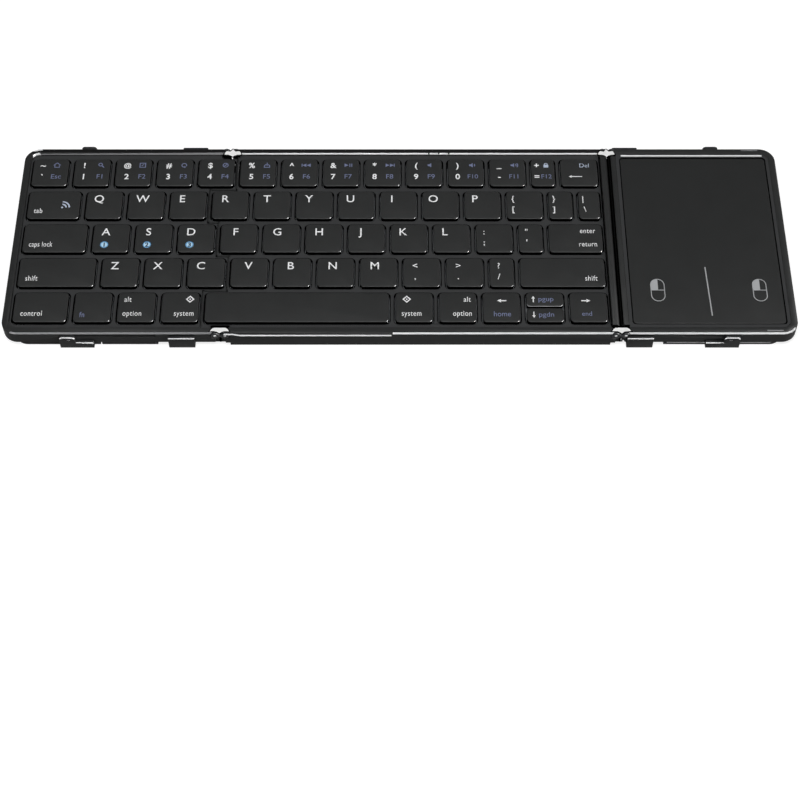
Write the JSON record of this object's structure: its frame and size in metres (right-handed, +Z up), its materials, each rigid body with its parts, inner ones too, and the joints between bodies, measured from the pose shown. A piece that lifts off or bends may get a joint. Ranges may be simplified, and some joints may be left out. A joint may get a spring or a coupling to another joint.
{
  "type": "folding keyboard",
  "caption": "Slim tri-fold keyboard: a key panel, a key wing and a touchpad wing on double-pin hinges, with a fabric-covered folding cover.",
  "frame": {"origin": "centre of the open keyboard's box, on the surface it lies on", "axes": "+X to the typist's right along the rows of keys, +Y away from the typist, +Z up from the key tops"},
  "size_m": [0.3458, 0.1084, 0.0085],
  "materials": {
    "case": "fine spark-textured ABS, charcoal",
    "deck": "fine spark-textured ABS, charcoal",
    "key": "satin ABS key cap, charcoal",
    "touchpad": "satin hard-coated sheet, charcoal",
    "rubber": "silicone dome sheet",
    "board": "glass-fibre circuit board with solder mask",
    "battery": "foil pouch",
    "steel": "turned steel",
    "socket": "nickel-plated shell",
    "switch": "ribbed knob",
    "hinge": "black-coated zinc",
    "plate": "moulded cover plate",
    "fabric": "heathered dark grey woven polyester"
  },
  "bodies": {
    "middle": {"middle_case": "case", "middle_deck": "deck", "middle_dome_sheet": "rubber", "middle_board": "board", "battery": "battery", "charging_socket": "socket", "base_cover": "plate", "base_fabric": "fabric", "board_screws": "steel"},
    "left_link": {"left_hinge_links": "hinge", "left_hinge_pins": "steel"},
    "left_wing": {"left_case": "case", "left_deck": "deck", "left_dome_sheet": "rubber", "left_board": "board", "left_magnets": "steel", "left_screws": "steel"},
    "left_slide": {"left_slide_plate": "plate", "left_slide_fabric": "fabric", "left_guide_pins": "steel"},
    "left_spine": {"left_spine": "fabric"},
    "left_bridge": {"left_bridge_plate": "plate", "left_bridge_fabric": "fabric"},
    "right_link": {"right_hinge_links": "hinge", "right_hinge_pins": "steel"},
    "right_wing": {"right_case": "case", "right_deck": "deck", "touchpad_board": "board", "right_magnets": "steel"},
    "right_slide": {"right_slide_plate": "plate", "right_slide_fabric": "fabric", "right_guide_pins": "steel"},
    "right_spine": {"right_spine": "fabric"},
    "touchpad": {"touchpad": "touchpad"},
    "power_switch": {"power_switch": "switch"},
    "backspace_key": {"backspace_key": "key"},
    "number_keys_middle": {"number_keys_middle": "key"},
    "top_letter_keys_middle": {"top_letter_keys_middle": "key"},
    "home_letter_keys_middle": {"home_letter_keys_middle": "key"},
    "enter_key": {"enter_key": "key"},
    "bottom_letter_keys_middle": {"bottom_letter_keys_middle": "key"},
    "right_shift_key": {"right_shift_key": "key"},
    "space_bar": {"space_bar": "key"},
    "right_command_key": {"right_command_key": "key"},
    "right_option_key": {"right_option_key": "key"},
    "left_arrow_key": {"left_arrow_key": "key"},
    "up_arrow_key": {"up_arrow_key": "key"},
    "down_arrow_key": {"down_arrow_key": "key"},
    "right_arrow_key": {"right_arrow_key": "key"},
    "number_keys_left": {"number_keys_left": "key"},
    "tab_key": {"tab_key": "key"},
    "top_letter_keys_left": {"top_letter_keys_left": "key"},
    "caps_lock_key": {"caps_lock_key": "key"},
    "home_letter_keys_left": {"home_letter_keys_left": "key"},
    "left_shift_key": {"left_shift_key": "key"},
    "bottom_letter_keys_left": {"bottom_letter_keys_left": "key"},
    "control_key": {"control_key": "key"},
    "fn_key": {"fn_key": "key"},
    "left_option_key": {"left_option_key": "key"},
    "left_command_key": {"left_command_key": "key"}
  },
  "joints": [
    {"name": "left_cover_slide", "type": "slide", "parent": "left_wing", "child": "left_slide", "axis": [1, 0, 0], "range_m": [0, 0.037]},
    {"name": "right_cover_slide", "type": "slide", "parent": "right_wing", "child": "right_slide", "axis": [-1, 0, 0], "range_m": [0, 0.0202]},
    {"name": "left_link_turn", "type": "hinge", "parent": "middle", "child": "left_link", "pos_m": [-0.0757, 0, 0.0065], "axis": [0, 1, 0], "range_deg": [0, 90]},
    {"name": "right_link_turn", "type": "hinge", "parent": "middle", "child": "right_link", "pos_m": [0.0937, 0, 0.0065], "axis": [0, -1, 0], "range_deg": [0, 90]},
    {"name": "left_wing_fold", "type": "hinge", "parent": "left_link", "child": "left_wing", "pos_m": [-0.0801, 0, 0.0065], "axis": [0, 1, 0], "range_deg": [0, 90]},
    {"name": "right_wing_fold", "type": "hinge", "parent": "right_link", "child": "right_wing", "pos_m": [0.0981, 0, 0.0065], "axis": [0, -1, 0], "range_deg": [0, 90]},
    {"name": "left_spine_fold", "type": "hinge", "parent": "middle", "child": "left_spine", "pos_m": [-0.0879, 0, 0.0002], "axis": [0, 1, 0], "range_deg": [0, 90]},
    {"name": "left_bridge_fold", "type": "hinge", "parent": "left_spine", "child": "left_bridge", "pos_m": [-0.1049, 0, 0.0002], "axis": [0, 1, 0], "range_deg": [0, 90]},
    {"name": "right_spine_fold", "type": "hinge", "parent": "middle", "child": "right_spine", "pos_m": [0.0975, 0, 0.0002], "axis": [0, -1, 0], "range_deg": [0, 90]},
    {"name": "touchpad_click", "type": "slide", "parent": "right_wing", "child": "touchpad", "axis": [0, 0, -1], "range_m": [0, 0.0004], "stiffness_N_per_m": 900, "springref_m": -0.0006},
    {"name": "power_switch_slide", "type": "slide", "parent": "middle", "child": "power_switch", "axis": [1, 0, 0], "range_m": [0, 0.0025]},
    {"name": "backspace_key_press", "type": "slide", "parent": "middle", "child": "backspace_key", "axis": [0, 0, -1], "range_m": [0, 0.0012], "stiffness_N_per_m": 200, "springref_m": -0.0006},
    {"name": "number_keys_middle_press", "type": "slide", "parent": "middle", "child": "number_keys_middle", "axis": [0, 0, -1], "range_m": [0, 0.0012], "stiffness_N_per_m": 600, "springref_m": -0.0006},
    {"name": "top_letter_keys_middle_press", "type": "slide", "parent": "middle", "child": "top_letter_keys_middle", "axis": [0, 0, -1], "range_m": [0, 0.0012], "stiffness_N_per_m": 600, "springref_m": -0.0006},
    {"name": "home_letter_keys_middle_press", "type": "slide", "parent": "middle", "child": "home_letter_keys_middle", "axis": [0, 0, -1], "range_m": [0, 0.0012], "stiffness_N_per_m": 600, "springref_m": -0.0006},
    {"name": "enter_key_press", "type": "slide", "parent": "middle", "child": "enter_key", "axis": [0, 0, -1], "range_m": [0, 0.0012], "stiffness_N_per_m": 200, "springref_m": -0.0006},
    {"name": "bottom_letter_keys_middle_press", "type": "slide", "parent": "middle", "child": "bottom_letter_keys_middle", "axis": [0, 0, -1], "range_m": [0, 0.0012], "stiffness_N_per_m": 600, "springref_m": -0.0006},
    {"name": "right_shift_key_press", "type": "slide", "parent": "middle", "child": "right_shift_key", "axis": [0, 0, -1], "range_m": [0, 0.0012], "stiffness_N_per_m": 220, "springref_m": -0.0006},
    {"name": "space_bar_press", "type": "slide", "parent": "middle", "child": "space_bar", "axis": [0, 0, -1], "range_m": [0, 0.0012], "stiffness_N_per_m": 220, "springref_m": -0.0006},
    {"name": "right_command_key_press", "type": "slide", "parent": "middle", "child": "right_command_key", "axis": [0, 0, -1], "range_m": [0, 0.0012], "stiffness_N_per_m": 200, "springref_m": -0.0006},
    {"name": "right_option_key_press", "type": "slide", "parent": "middle", "child": "right_option_key", "axis": [0, 0, -1], "range_m": [0, 0.0012], "stiffness_N_per_m": 200, "springref_m": -0.0006},
    {"name": "left_arrow_key_press", "type": "slide", "parent": "middle", "child": "left_arrow_key", "axis": [0, 0, -1], "range_m": [0, 0.0012], "stiffness_N_per_m": 200, "springref_m": -0.0006},
    {"name": "up_arrow_key_press", "type": "slide", "parent": "middle", "child": "up_arrow_key", "axis": [0, 0, -1], "range_m": [0, 0.0012], "stiffness_N_per_m": 200, "springref_m": -0.0006},
    {"name": "down_arrow_key_press", "type": "slide", "parent": "middle", "child": "down_arrow_key", "axis": [0, 0, -1], "range_m": [0, 0.0012], "stiffness_N_per_m": 200, "springref_m": -0.0006},
    {"name": "right_arrow_key_press", "type": "slide", "parent": "middle", "child": "right_arrow_key", "axis": [0, 0, -1], "range_m": [0, 0.0012], "stiffness_N_per_m": 200, "springref_m": -0.0006},
    {"name": "number_keys_left_press", "type": "slide", "parent": "left_wing", "child": "number_keys_left", "axis": [0, 0, -1], "range_m": [0, 0.0012], "stiffness_N_per_m": 200, "springref_m": -0.0006},
    {"name": "tab_key_press", "type": "slide", "parent": "left_wing", "child": "tab_key", "axis": [0, 0, -1], "range_m": [0, 0.0012], "stiffness_N_per_m": 200, "springref_m": -0.0006},
    {"name": "top_letter_keys_left_press", "type": "slide", "parent": "left_wing", "child": "top_letter_keys_left", "axis": [0, 0, -1], "range_m": [0, 0.0012], "stiffness_N_per_m": 200, "springref_m": -0.0006},
    {"name": "caps_lock_key_press", "type": "slide", "parent": "left_wing", "child": "caps_lock_key", "axis": [0, 0, -1], "range_m": [0, 0.0012], "stiffness_N_per_m": 200, "springref_m": -0.0006},
    {"name": "home_letter_keys_left_press", "type": "slide", "parent": "left_wing", "child": "home_letter_keys_left", "axis": [0, 0, -1], "range_m": [0, 0.0012], "stiffness_N_per_m": 200, "springref_m": -0.0006},
    {"name": "left_shift_key_press", "type": "slide", "parent": "left_wing", "child": "left_shift_key", "axis": [0, 0, -1], "range_m": [0, 0.0012], "stiffness_N_per_m": 220, "springref_m": -0.0006},
    {"name": "bottom_letter_keys_left_press", "type": "slide", "parent": "left_wing", "child": "bottom_letter_keys_left", "axis": [0, 0, -1], "range_m": [0, 0.0012], "stiffness_N_per_m": 200, "springref_m": -0.0006},
    {"name": "control_key_press", "type": "slide", "parent": "left_wing", "child": "control_key", "axis": [0, 0, -1], "range_m": [0, 0.0012], "stiffness_N_per_m": 200, "springref_m": -0.0006},
    {"name": "fn_key_press", "type": "slide", "parent": "left_wing", "child": "fn_key", "axis": [0, 0, -1], "range_m": [0, 0.0012], "stiffness_N_per_m": 200, "springref_m": -0.0006},
    {"name": "left_option_key_press", "type": "slide", "parent": "left_wing", "child": "left_option_key", "axis": [0, 0, -1], "range_m": [0, 0.0012], "stiffness_N_per_m": 200, "springref_m": -0.0006},
    {"name": "left_command_key_press", "type": "slide", "parent": "left_wing", "child": "left_command_key", "axis": [0, 0, -1], "range_m": [0, 0.0012], "stiffness_N_per_m": 200, "springref_m": -0.0006}
  ],
  "couplings": [
    {"joint": "left_link_turn", "follows": "left_cover_slide", "rad_per_m": 42.454},
    {"joint": "left_wing_fold", "follows": "left_cover_slide", "rad_per_m": 42.454},
    {"joint": "left_spine_fold", "follows": "left_cover_slide", "rad_per_m": 42.454},
    {"joint": "left_bridge_fold", "follows": "left_cover_slide", "rad_per_m": 42.454},
    {"joint": "right_link_turn", "follows": "right_cover_slide", "rad_per_m": 77.762},
    {"joint": "right_wing_fold", "follows": "right_cover_slide", "rad_per_m": 77.762},
    {"joint": "right_spine_fold", "follows": "right_cover_slide", "rad_per_m": 77.762}
  ]
}
